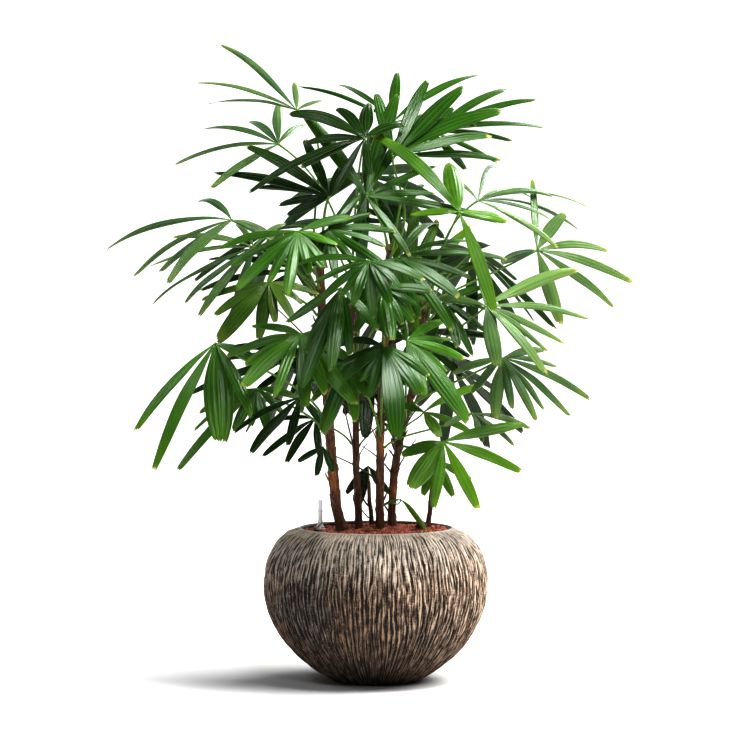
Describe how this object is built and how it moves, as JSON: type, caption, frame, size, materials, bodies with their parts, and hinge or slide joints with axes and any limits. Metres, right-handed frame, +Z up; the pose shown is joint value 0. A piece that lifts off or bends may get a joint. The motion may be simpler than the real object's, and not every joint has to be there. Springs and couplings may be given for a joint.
{
  "type": "potted lady palm",
  "caption": "Bushy indoor fan palm on slim fibrous canes, in a squat globe planter with a bark-like ridged wall and a bed of clay granules.",
  "frame": {"origin": "centre of the planter's flat underside, on the surface it stands on", "axes": "+Z up along the planter's axis, +X to the right and -Y towards the viewer of the pictured side"},
  "size_m": [0.9573, 0.7328, 1.1481],
  "materials": {
    "planter": "rough, ridged like bark",
    "liner": "matt",
    "granules": "unglazed fired clay grains",
    "gauge": "clear, smooth",
    "cane": "fibrous brown leaf sheaths",
    "leaf": "satin green"
  },
  "bodies": {
    "root": {"back_high_frond": "leaf", "back_left_frond": "leaf", "back_low_left_frond": "leaf", "back_low_right_frond": "leaf", "back_middle_frond": "leaf", "back_right_frond": "leaf", "back_shoot_frond": "leaf", "big_left_frond": "leaf", "bottom_left_frond": "leaf", "bottom_right_frond": "leaf", "cane_leaf_frond": "leaf", "cane_left": "cane", "cane_middle": "cane", "cane_right": "cane", "cane_slim": "cane", "crest_back_frond": "leaf", "crest_far_frond": "leaf", "crest_left_frond": "leaf", "crest_middle_frond": "leaf", "crest_right_frond": "leaf", "dark_left_frond": "leaf", "far_right_frond": "leaf", "front_left_frond": "leaf", "front_low_frond": "leaf", "front_middle_frond": "leaf", "front_right_frond": "leaf", "granule_bed": "granules", "hanging_dark_frond": "leaf", "inner_dark_frond": "leaf", "inner_drop_frond": "leaf", "inner_hanging_frond": "leaf", "inner_right_frond": "leaf", "left_back_frond": "leaf", "left_front_frond": "leaf", "liner": "liner", "low_left_frond": "leaf", "low_right_frond": "leaf", "lower_left_frond": "leaf", "mid_left_frond": "leaf", "mid_right_frond": "leaf", "middle_arch_frond": "leaf", "middle_hanging_frond": "leaf", "middle_right_frond": "leaf", "olive_left_frond": "leaf", "outer_left_frond": "leaf", "planter": "planter", "right_arching_frond": "leaf", "right_bright_frond": "leaf", "right_hanging_frond": "leaf", "rim_leaf_frond": "leaf", "small_back_frond": "leaf", "small_right_frond": "leaf", "sucker_back": "cane", "sucker_leaf_frond": "leaf", "sucker_right": "cane", "top_left_fan_frond": "leaf", "top_left_frond": "leaf", "upper_left_frond": "leaf", "upright_frond": "leaf", "water_gauge": "gauge"}
  },
  "joints": []
}
